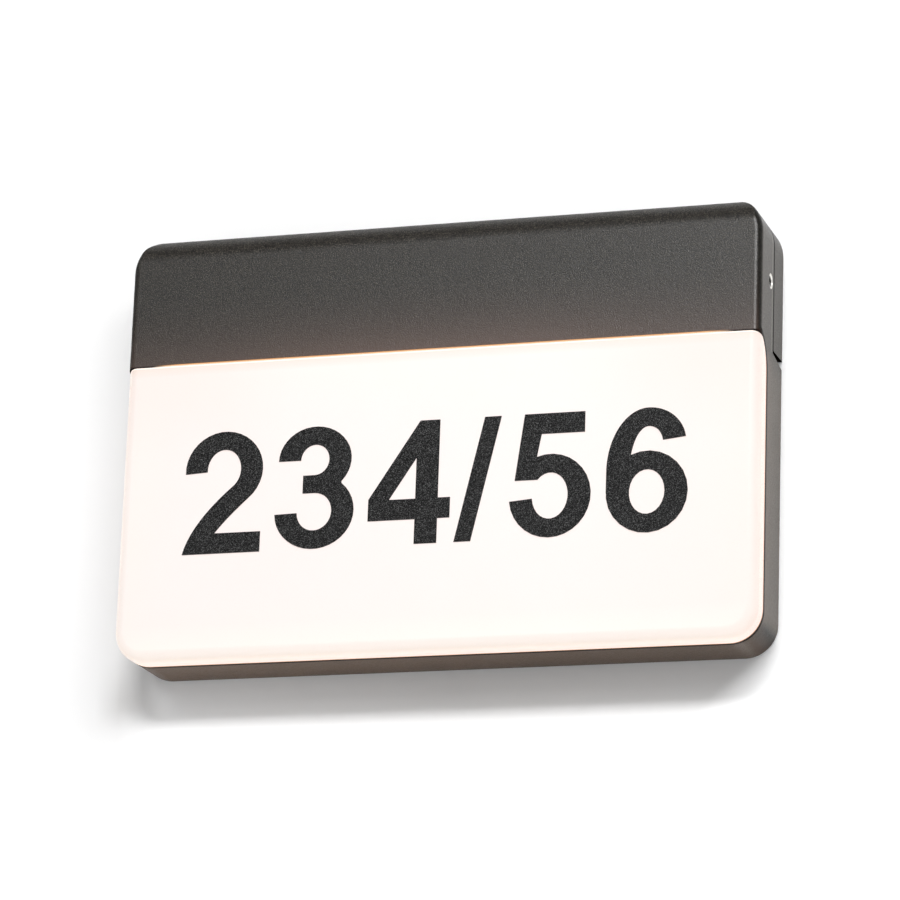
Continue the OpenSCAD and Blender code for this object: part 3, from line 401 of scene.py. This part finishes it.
def powder_coat():
    """Fine-textured dark grey powder coat on die-cast aluminium, which is bare in two threaded holes;
    painted shade and light lie in its colour, gloss, sheen and emission.
    """
    mat, tree, shader = material("powder_coat")
    spot = Spot(tree)
    grain = noise(tree, spot.at, 0.9 * MM, 2.5, 0.6)
    dust = noise(tree, spot.at, 0.36 * MM, 1.0)
    shaded = painted_round_shade(tree, spot)
    black = painted_gap_shade(tree, spot)
    bare = bare_thread(tree, spot)
    tone = coat_colour(tree, spot, grain, dust, shaded, black)
    edge = add(tree, "Bevel", {"Radius": 0.3 * MM}, samples=4).outputs["Normal"]
    rough = bump(tree, grain, 0.055 * MM, 1.0, edge)
    finish_with(
        tree, shader, Base_Color=blend(tree, bare, tone, BARE_METAL), Metallic=bare,
        Normal=bump(tree, dust, 0.07 * MM, 1.0, rough), Roughness=remap(tree, grain, 0.3, 0.7, 0.33, 0.42),
        Specular_IOR_Level=coat_gloss(tree, spot, shaded, black),
        Specular_Tint=blend(tree, spot.side, (1, 1, 1), PAINTED_SIDE_SHEEN),
        Emission_Color=painted_lip_light(tree, spot), Emission_Strength=1.0,
    )
    return mat


# Opal diffuser: what it sends out from its middle to its edges

OPAL_MIDDLE = (0.55, 0.452, 0.42)
OPAL_EDGE = (0.55, 0.465, 0.415)
OPAL_PATCH = (0.55, 0.475, 0.45)
OPAL_RIGHT = (0.53, 0.42, 0.37)
OPAL_BOTTOM = (0.62, 0.53, 0.46)
OPAL_UPPER_CORNER = (0.53, 0.405, 0.355)
OPAL_TOP = (0.5, 0.35, 0.27)
OPAL_ROUND = (0.74, 0.6, 0.51)
OPAL_SIDE = (0.62, 0.47, 0.4)
OPAL_RIM = (0.85, 0.7, 0.58)
OPAL_LIP = (0.5, 0.19, 0.055)
OPAL_BODY = (0.42, 0.42, 0.42)
# Painted shade and orange light in the hidden lip's own colour
OPAL_LIP_PAINTED_SHADE = (0.2, 0.1, 0.05)


def hidden_lip(tree, spot):
    """1 on the diffuser's hidden lip, which reaches back into the head near the cap."""
    return product(
        tree, remap(tree, lens_gap(tree, spot), -1 * MM, -0.5 * MM),
        remap(tree, spot.face_y, -0.9, -0.6),
        remap(tree, spot.z, DIVISION_Z - 10 * MM, DIVISION_Z - 3 * MM, 1, 0),
    )


def opal_glow(tree, spot, lip):
    """The diffuser's light: near white, warmer at its right, top and sides, orange in its hidden lip."""
    inside = edge_distance(tree, spot.at, lens_low, lens_high)
    patch = noise(tree, spot.at, 22 * MM)
    upper_corner = product(
        tree, remap(tree, spot.out, 0.35 * SIDE_X, 0.85 * SIDE_X, smooth=True),
        remap(tree, spot.x, -SIDE_X, SIDE_X, 0.6, 0.95),
        remap(tree, spot.z, DIVISION_Z - 40 * MM, DIVISION_Z - 5 * MM, smooth=True),
    )
    round_side = blend(tree, remap(tree, spot.sideways, 0.2, 0.8), OPAL_ROUND, OPAL_SIDE)
    return layered(
        tree, blend(tree, remap(tree, inside, 0, 26 * MM, smooth=True), OPAL_EDGE, OPAL_MIDDLE),
        (remap(tree, patch, 0.3, 0.7, 0, 0.3), OPAL_PATCH),
        (remap(tree, spot.x, 0.4 * SIDE_X, SIDE_X, 0, 0.6), OPAL_RIGHT),
        (remap(tree, spot.z, lens_low.z + 12 * MM, lens_low.z + 4 * MM, 0, 0.5), OPAL_BOTTOM),
        (upper_corner, OPAL_UPPER_CORNER),
        (remap(tree, spot.z, DIVISION_Z - 4 * MM, DIVISION_Z - 1 * MM, 0, 0.8), OPAL_TOP),
        (remap(tree, spot.face_y, -0.98, -0.3), round_side),
        (remap(tree, spot.z, DIVISION_Z - 0.9 * MM, DIVISION_Z - 0.5 * MM), OPAL_RIM),
        (lip, OPAL_LIP),
    )


def opal_acrylic():
    """Opal acrylic lit from behind, with a faint haze on its surface."""
    mat, tree, shader = material("opal_acrylic")
    spot = Spot(tree)
    lip = hidden_lip(tree, spot)
    haze = noise(tree, spot.at, 0.5 * MM, 1.0)
    finish_with(
        tree, shader, Base_Color=blend(tree, lip, OPAL_BODY, OPAL_LIP_PAINTED_SHADE),
        Emission_Color=opal_glow(tree, spot, lip), Emission_Strength=1.0,
        Roughness=remap(tree, haze, 0.3, 0.7, 0.26, 0.34), IOR=1.49, Specular_IOR_Level=0.25,
        Normal=bump(tree, haze, 0.002 * MM, 0.4),
    )
    return mat


# Other materials

def dark_film():
    """Adhesive film, near black, with a fine sparkle."""
    mat, tree, shader = material("dark_film")
    at = place(tree)
    grain = noise(tree, at, 0.42 * MM, 2.0, 0.65)
    fleck = noise(tree, at, 0.2 * MM, 1.0)
    tone = blend(tree, remap(tree, grain, 0.35, 0.65), (0.001, 0.001, 0.0011), (0.005, 0.005, 0.0052))
    tone = blend(tree, remap(tree, fleck, 0.56, 0.66, 0, 0.9), tone, (0.13, 0.13, 0.13))
    finish_with(
        tree, shader, Base_Color=tone, Roughness=remap(tree, grain, 0.3, 0.7, 0.55, 0.68),
        Specular_IOR_Level=0.14, Normal=bump(tree, grain, 0.03 * MM, 0.8),
    )
    return mat


def rubber():
    """Moulded black rubber with a faint bloom."""
    mat, tree, shader = material("black_rubber")
    at = place(tree)
    skin = noise(tree, at, 0.5 * MM, 3.0, 0.6)
    bloom = noise(tree, at, 6 * MM, 3.0)
    tone = blend(tree, remap(tree, bloom, 0.4, 0.7), (0.018, 0.018, 0.0185), (0.04, 0.04, 0.041))
    finish_with(
        tree, shader, Base_Color=tone, Roughness=remap(tree, skin, 0.3, 0.7, 0.58, 0.75),
        Normal=bump(tree, skin, 0.03 * MM, 0.5),
    )
    return mat


def foam():
    """Closed-cell foam with open pores on its cut faces."""
    mat, tree, shader = material("dark_foam")
    cells = add(tree, "TexVoronoi", {"Vector": place(tree), "Scale": 1 / (0.5 * MM)}).outputs["Distance"]
    tone = blend(tree, remap(tree, cells, 0.05, 0.55), (0.018, 0.018, 0.019), (0.06, 0.06, 0.062))
    finish_with(tree, shader, Base_Color=tone, Roughness=0.9, Normal=bump(tree, cells, 0.12 * MM, 0.8))
    return mat


def steel():
    """Stainless steel with turned marks and small stains; a set screw has a bright face, partly a painted
    highlight, and a socket painted black as shade.
    """
    mat, tree, shader = material("steel_screw")
    spot = Spot(tree)
    set_screw = product(
        tree, remap(tree, spot.out, SIDE_X - 7 * MM, SIDE_X - 6.5 * MM),
        remap(tree, spot.z, -20 * MM, -10 * MM),
    )
    socket = remap(tree, screw_distance(tree, spot), 1.85 * MM, 2 * MM, 1, 0)
    turned = noise(tree, stretched(tree, spot.at, (1, 9, 1)), 0.5 * MM)
    stain = noise(tree, spot.at, 1.6 * MM, 3.0)
    # The set screw's face is paler for a painted highlight, and its socket is painted black for the shade in
    # it
    tone = layered(
        tree, blend(tree, remap(tree, stain, 0.35, 0.7), (0.5, 0.5, 0.51), (0.64, 0.64, 0.635)),
        (set_screw, (0.97, 0.95, 0.92)),
        (product(tree, set_screw, socket), (0.002, 0.002, 0.002)),
    )
    finish_with(
        tree, shader, Base_Color=tone, Metallic=1.0, Roughness=remap(tree, turned, 0.3, 0.7, 0.22, 0.4),
        Normal=bump(tree, turned, 0.01 * MM, 0.5),
    )
    return mat


def white_board():
    """Metal-core board: white solder mask with the tracks under it and bare metal at the cut edge."""
    mat, tree, shader = material("white_board")
    spot = Spot(tree)
    low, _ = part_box("led_board")
    pitch = 14 * MM
    wave_z = calc(tree, "PINGPONG", calc(tree, "SUBTRACT", spot.z, low.z), pitch / 2)
    wave_x = calc(tree, "PINGPONG", calc(tree, "SUBTRACT", spot.x, low.x), pitch)
    rows = remap(tree, wave_z, 1.0 * MM, 1.25 * MM)
    track = product(tree, rows, remap(tree, wave_x, 0.7 * MM, 0.95 * MM))
    front = remap(tree, spot.face_y, -0.9, -0.8, 1, 0)
    mask = blend(tree, track, (0.6, 0.61, 0.58), (0.82, 0.83, 0.8))
    rolled = noise(tree, stretched(tree, spot.at, (1, 1, 8)), 0.6 * MM)
    bare = blend(tree, rolled, (0.45, 0.45, 0.46), (0.6, 0.6, 0.61))
    finish_with(
        tree, shader, Base_Color=blend(tree, front, bare, mask), Metallic=calc(tree, "SUBTRACT", 1.0, front),
        Roughness=remap(tree, rolled, 0.3, 0.7, 0.3, 0.42),
        Normal=bump(tree, product(tree, track, front), 0.03 * MM, 0.6),
    )
    return mat


def led_lens():
    """Yellow phosphor in the dish of a white package."""
    mat, tree, shader = material("led_lens")
    spot = Spot(tree)
    low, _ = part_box("leds")
    sunk = remap(tree, spot.y, low.y + 0.05 * MM, low.y + 0.15 * MM)
    dish = product(tree, sunk, remap(tree, spot.face_y, -0.9, -0.7, 1, 0))
    grain = noise(tree, spot.at, 0.12 * MM)
    phosphor = blend(tree, remap(tree, grain, 0.35, 0.65), (0.82, 0.56, 0.06), (0.9, 0.68, 0.12))
    finish_with(
        tree, shader, Base_Color=blend(tree, dish, (0.82, 0.81, 0.78), phosphor),
        Roughness=remap(tree, dish, 0, 1, 0.45, 0.18), Normal=bump(tree, grain, 0.01 * MM, 0.4),
        Emission_Color=blend(tree, dish, (0, 0, 0), (1, 0.72, 0.38)), Emission_Strength=0.9,
    )
    return mat


def white_reflector():
    """Glossy white sheet, vacuum-formed over a mould."""
    mat, tree, shader = material("white_reflector")
    at = place(tree)
    wave = noise(tree, at, 9 * MM)
    fine = noise(tree, at, 0.35 * MM, 1.0)
    finish_with(
        tree, shader, Base_Color=blend(tree, wave, (0.8, 0.8, 0.79), (0.88, 0.88, 0.87)),
        Roughness=remap(tree, fine, 0.3, 0.7, 0.16, 0.28), Normal=bump(tree, wave, 0.25 * MM, 0.3),
    )
    return mat


def moulded_plastic(name, dark, light, texture, roughness):
    """Moulded plastic with a sparked mould texture and slight flow marks."""
    mat, tree, shader = material(name)
    at = place(tree)
    spark = noise(tree, at, texture, 2.5, 0.6)
    flow = noise(tree, stretched(tree, at, (0.4, 1, 1)), 7 * MM, 3.0)
    finish_with(
        tree, shader, Base_Color=blend(tree, remap(tree, flow, 0.3, 0.7), dark, light),
        Roughness=remap(tree, spark, 0.3, 0.7, roughness - 0.08, roughness + 0.08),
        Normal=bump(tree, spark, 0.03 * MM, 0.6),
    )
    return mat


def green_board():
    """Glass-fibre board with tracks showing through green solder mask, and round tinned joints."""
    mat, tree, shader = material("green_board")
    at = place(tree)
    pads = add(tree, "TexVoronoi", {"Vector": at, "Scale": 1 / (4.2 * MM)}).outputs["Distance"]
    pad = remap(tree, pads, 0.14, 0.18, 1, 0)
    lanes = add(tree, "TexBrick", {
        "Vector": add(tree, "Mapping", {"Vector": at, "Rotation": (math.pi / 2, 0, 0)}).outputs[0],
        "Scale": 1 / (6 * MM), "Mortar Size": 0.09, "Mortar Smooth": 0.1,
        "Color1": (0.02, 0.1, 0.035, 1), "Color2": (0.03, 0.13, 0.045, 1), "Mortar": (0.05, 0.2, 0.07, 1),
    })
    tone = blend(tree, pad, lanes.outputs["Color"], (0.55, 0.54, 0.5))
    weave = noise(tree, at, 0.3 * MM, 1.0)
    finish_with(
        tree, shader, Base_Color=tone, Metallic=pad, Roughness=remap(tree, weave, 0.3, 0.7, 0.25, 0.4),
        Normal=bump(tree, lanes.outputs["Fac"], 0.03 * MM, 0.5),
    )
    return mat


def ferrite():
    """Grey ferrite core; the winding in its middle is wrapped in yellow tape."""
    mat, tree, shader = material("ferrite")
    spot = Spot(tree)
    low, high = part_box("driver_transformer")
    height = high.z - low.z
    off = calc(tree, "ABSOLUTE", calc(tree, "SUBTRACT", spot.z, (low.z + high.z) / 2))
    taped = remap(tree, off, height * 0.29, height * 0.3, 1, 0)
    grit = noise(tree, spot.at, 0.25 * MM, 3.0, 0.7)
    stone = blend(tree, grit, (0.025, 0.024, 0.023), (0.06, 0.058, 0.055))
    lap = noise(tree, stretched(tree, spot.at, (0.2, 0.2, 6)), 2 * MM, 1.0)
    tape = blend(tree, lap, (0.62, 0.4, 0.03), (0.74, 0.52, 0.06))
    finish_with(
        tree, shader, Base_Color=blend(tree, taped, stone, tape),
        Roughness=remap(tree, taped, 0, 1, 0.7, 0.25), Normal=bump(tree, grit, 0.03 * MM, 0.5),
    )
    return mat


def capacitor_can():
    """Dark sleeve over an aluminium can, with a pale stripe down one side and a bare end."""
    mat, tree, shader = material("capacitor_can")
    spot = Spot(tree)
    stripe = remap(tree, spot.face_z, 0.8, 0.83)
    end = remap(tree, spot.sideways, 0.9, 0.95)
    fine = noise(tree, spot.at, 0.5 * MM)
    sleeve = blend(tree, stripe, (0.02, 0.024, 0.036), (0.32, 0.33, 0.35))
    finish_with(
        tree, shader, Base_Color=blend(tree, end, sleeve, (0.6, 0.6, 0.61)), Metallic=end,
        Roughness=remap(tree, fine, 0.3, 0.7, 0.22, 0.34), Normal=bump(tree, fine, 0.01 * MM, 0.4),
    )
    return mat


def metal(name, dark, light, roughness, grain):
    """Bare or plated metal with drawn marks along Z and slight tarnish."""
    mat, tree, shader = material(name)
    at = place(tree)
    drawn = noise(tree, stretched(tree, at, (1, 1, 0.12)), grain)
    tarnish = noise(tree, at, 2.5 * MM, 3.0)
    finish_with(
        tree, shader, Base_Color=blend(tree, remap(tree, tarnish, 0.3, 0.7), dark, light), Metallic=1.0,
        Roughness=remap(tree, drawn, 0.3, 0.7, roughness - 0.07, roughness + 0.07),
        Normal=bump(tree, drawn, 0.01 * MM, 0.5),
    )
    return mat


def insulation(name, colour, stripe=None):
    """Soft glossy cable insulation, with a stripe down one side if it has one."""
    mat, tree, shader = material(name)
    smear = noise(tree, place(tree), 1.2 * MM, 3.0)
    darker = tuple(0.75 * c for c in colour)
    tone = blend(tree, remap(tree, smear, 0.35, 0.7), darker, colour)
    if stripe is not None:
        side = axes(tree, place(tree, "Normal"))
        toward = calc(tree, "ADD", side[0], product(tree, side[1], 0.6))
        tone = blend(tree, remap(tree, toward, 0.1, 0.16), tone, stripe)
    finish_with(
        tree, shader, Base_Color=tone, Roughness=remap(tree, smear, 0.3, 0.7, 0.32, 0.46),
        Normal=bump(tree, smear, 0.02 * MM, 0.4),
    )
    return mat


SLOT_MATERIALS = {
    "powder_coat": powder_coat(),
    "opal_acrylic": opal_acrylic(),
    "dark_film": dark_film(),
    "black_rubber": rubber(),
    "dark_foam": foam(),
    "steel_screw": steel(),
    "white_board": white_board(),
    "led_lens": led_lens(),
    "white_reflector": white_reflector(),
    "driver_plastic": moulded_plastic(
        "driver_plastic", (0.68, 0.68, 0.64), (0.76, 0.76, 0.72), texture=0.4 * MM, roughness=0.5
    ),
    "terminal_plastic": moulded_plastic(
        "terminal_plastic", (0.8, 0.8, 0.73), (0.88, 0.88, 0.82), texture=0.6 * MM, roughness=0.4
    ),
    "green_board": green_board(),
    "ferrite": ferrite(),
    "capacitor_can": capacitor_can(),
    "brass": metal("brass", (0.42, 0.29, 0.07), (0.56, 0.41, 0.11), 0.3, 0.5 * MM),
    "tinned_tag": metal("tinned_tag", (0.5, 0.48, 0.41), (0.64, 0.61, 0.53), 0.34, 0.6 * MM),
    "brown_lead": insulation("brown_lead", (0.13, 0.052, 0.02)),
    "blue_lead": insulation("blue_lead", (0.028, 0.13, 0.44)),
    "green_yellow_lead": insulation("green_yellow_lead", (0.035, 0.25, 0.04), (0.72, 0.56, 0.02)),
    "red_lead": insulation("red_lead", (0.42, 0.016, 0.016)),
    "black_lead": insulation("black_lead", (0.014, 0.014, 0.014)),
}


def dress_nodes():
    """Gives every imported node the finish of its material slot."""
    for part in frame["record"]["subparts"]:
        piece = frame["nodes"][part["node"]]
        for index in range(len(piece.data.materials)):
            piece.data.materials[index] = SLOT_MATERIALS[part["material_slot"]]


# Stage, whose wall has painted light for the camera on top of its paint, least of it in the light's shadow,
# which shapes the shadow's ends

WALL_Y = 0.2 * MM
FLOOR_Z = -2.2
STAGE_SIZE = 9.0
PALE = 0.92
LIFT_IN_SHADOW = 0.015
LIFT_FAR = 0.26
LIFT_REACH = 75 * MM
LIFT_TINT = (0.98, 1, 1.02, 1)
FLOOR_LIFT = 0.35
SHADOW_SHIFT = (-14 * MM, 0, -4 * MM)
SHADOW_TOP_Z = -118 * MM
SHADOW_CORE_Z = -133 * MM
SHADOW_END_Z = -137 * MM
LEFT_X = -SIDE_X - 9 * MM
RIGHT_SLANT = 230 * MM
WORLD_LEVEL = 0.22
WORLD_WHITE = 1.0


def seen_directly(tree):
    """1 for camera, mirror and transmitted rays, which show the plain white background."""
    rays = add(tree, "LightPath").outputs
    return largest(tree, rays["Is Camera Ray"], rays["Is Glossy Ray"], rays["Is Transmission Ray"]), rays


def lift_below(tree, x, z):
    """The wall's extra painted light below the light, more at the left; it paints the shadow's left end
    darker and soft.
    """
    below = remap(tree, z, SHADOW_CORE_Z, SHADOW_TOP_Z, 1, 0)
    across = remap(tree, x, -100 * MM, 0, 0.17, 0.09)
    rise = remap(tree, x, LEFT_X, LEFT_X + 17 * MM, 0, 1)
    dip = product(
        tree, remap(tree, x, LEFT_X - 9 * MM, LEFT_X, 0, 0.75), calc(tree, "SUBTRACT", 1, rise),
        remap(tree, z, SHADOW_END_Z - 7 * MM, SHADOW_END_Z, 0, 1),
    )
    return product(tree, below, across, calc(tree, "SUBTRACT", rise, dip))


def lift_beside(tree, x, z):
    """The wall's extra painted light right of the light, which cuts the shadow's right end off at a slant.
    """
    beside = remap(tree, x, SIDE_X - 10 * MM, SIDE_X + 2 * MM, 0, 0.14)
    slant = remap(tree, calc(tree, "SUBTRACT", x, z), RIGHT_SLANT, RIGHT_SLANT + 14 * MM, 0, 0.22)
    return calc(tree, "MAXIMUM", beside, slant)


def stage_white(name, more=0.0):
    """Pale matt paint with painted light for the camera, so that it reads as white and paints the shadow's
    shape; it holds a shadow and isn't there from behind.
    """
    mat = bpy.data.materials.new(name)
    mat.use_nodes = True
    tree = mat.node_tree
    tree.nodes.clear()
    seen, rays = seen_directly(tree)
    at = place(tree)
    x, _, z = axes(tree, at)
    shifted = add(tree, "VectorMath", {0: at, 1: SHADOW_SHIFT}, operation="SUBTRACT").outputs[0]
    inside = edge_distance(tree, shifted, head_low, head_high)
    level = remap(tree, inside, -LIFT_REACH, 0, LIFT_FAR, LIFT_IN_SHADOW, smooth=True)
    for lift in (more, lift_below(tree, x, z), lift_beside(tree, x, z)):
        level = calc(tree, "ADD", level, lift)
    paint = add(tree, "BsdfDiffuse", {"Color": (PALE, PALE, PALE, 1)}).outputs[0]
    lifted = add(tree, "Emission", {"Strength": product(tree, seen, level), "Color": LIFT_TINT}).outputs[0]
    shown = add(tree, "AddShader", {0: paint, 1: lifted}).outputs[0]
    behind = add(tree, "NewGeometry").outputs["Backfacing"]
    gone = calc(tree, "MAXIMUM", behind, rays["Is Shadow Ray"])
    clear = add(tree, "BsdfTransparent").outputs[0]
    final = add(tree, "MixShader", {0: gone, 1: shown, 2: clear}).outputs[0]
    add(tree, "OutputMaterial", {"Surface": final})
    return mat


def sheet(name, corners, finish):
    """A flat stage piece through four corners, whose order says which side shows."""
    mesh = bpy.data.meshes.new(name)
    mesh.from_pydata(corners, [], [(0, 1, 2, 3)])
    mesh.materials.append(finish)
    piece = bpy.data.objects.new(name, mesh)
    bpy.context.scene.collection.objects.link(piece)


def make_stage():
    """The white wall that the light hangs on and a pale floor far below it."""
    s = STAGE_SIZE / 2
    wall = [(-s, WALL_Y, FLOOR_Z), (s, WALL_Y, FLOOR_Z), (s, WALL_Y, s), (-s, WALL_Y, s)]
    sheet("stage_wall", wall, stage_white("stage_wall_paint"))
    floor = [(-s, -s, FLOOR_Z), (s, -s, FLOOR_Z), (s, s, FLOOR_Z), (-s, s, FLOOR_Z)]
    sheet("stage_floor", floor, stage_white("stage_floor_paint", more=FLOOR_LIFT))


def make_world():
    """White to the camera; a dim studio in front of the wall and white behind it for everything else."""
    world = bpy.data.worlds.new("studio")
    bpy.context.scene.world = world
    world.use_nodes = True
    tree = world.node_tree
    tree.nodes.clear()
    rays = add(tree, "LightPath").outputs
    behind = remap(tree, axes(tree, place(tree, "Generated"))[1], -0.05, 0.1)
    mirrored = calc(tree, "MAXIMUM", rays["Is Glossy Ray"], rays["Is Transmission Ray"])
    white = calc(tree, "MAXIMUM", rays["Is Camera Ray"], product(tree, mirrored, behind))
    level = remap(tree, white, 0, 1, WORLD_LEVEL, WORLD_WHITE)
    background = add(tree, "Background", {"Color": (1, 1, 1, 1), "Strength": level}).outputs[0]
    add(tree, "OutputWorld", {"Surface": background})


# Camera and lamps

LAMP_AIM = Vector((0, 0, -50)) * MM


def make_camera():
    """The camera where the photograph's was."""
    yaw, pitch, roll = CAMERA_YAW, CAMERA_PITCH, CAMERA_ROLL
    forward = Vector((-math.sin(yaw) * math.cos(pitch), math.cos(yaw) * math.cos(pitch), math.sin(pitch)))
    level = Vector((math.cos(yaw), math.sin(yaw), 0))
    upright = level.cross(forward)
    right = level * math.cos(roll) + upright * math.sin(roll)
    up = upright * math.cos(roll) - level * math.sin(roll)
    data = bpy.data.cameras.new("camera")
    data.sensor_width = SENSOR_MM
    data.lens = FOCAL_PX / FRAME_PX * SENSOR_MM
    data.clip_start = 0.01
    data.clip_end = 50
    camera = bpy.data.objects.new("camera", data)
    camera.matrix_world = Matrix((right, up, -forward)).transposed().to_4x4()
    camera.location = CAMERA_TARGET - forward * CAMERA_DISTANCE
    bpy.context.scene.collection.objects.link(camera)
    bpy.context.scene.camera = camera


def softbox(name, azimuth, elevation, distance, width, height, level):
    """A rectangular lamp aimed at the light. The level is what a white card facing it shows there.

    The azimuth is counted from the front towards +X.
    """
    data = bpy.data.lights.new(name, "AREA")
    data.shape = "RECTANGLE"
    data.size = width
    data.size_y = height
    data.energy = level * math.pi ** 2 * distance ** 2
    a, e = math.radians(azimuth), math.radians(elevation)
    away = Vector((math.sin(a) * math.cos(e), -math.cos(a) * math.cos(e), math.sin(e)))
    lamp = bpy.data.objects.new(name, data)
    lamp.rotation_euler = away.to_track_quat("Z", "Y").to_euler()
    lamp.location = LAMP_AIM + away * distance
    lamp.visible_camera = False
    bpy.context.scene.collection.objects.link(lamp)


def make_lamps():
    """A softbox high at the front, two dimmer ones beside it and soft lamps behind the wall."""
    softbox("key", azimuth=8, elevation=25.5, distance=2.2, width=0.7, height=0.28, level=0.6)
    softbox("right_fill", azimuth=33, elevation=26, distance=2.2, width=1.0, height=0.34, level=0.27)
    softbox("front_left", azimuth=-16, elevation=18, distance=2.2, width=0.4, height=0.5, level=0.13)
    softbox("back_left", azimuth=212, elevation=30, distance=1.6, width=0.9, height=0.9, level=0.75)
    softbox("back_high", azimuth=184, elevation=48, distance=1.6, width=0.3, height=0.6, level=0.35)


make_camera()
make_stage()
make_world()
make_lamps()
dress_nodes()
bpy.context.scene.view_settings.view_transform = "Standard"
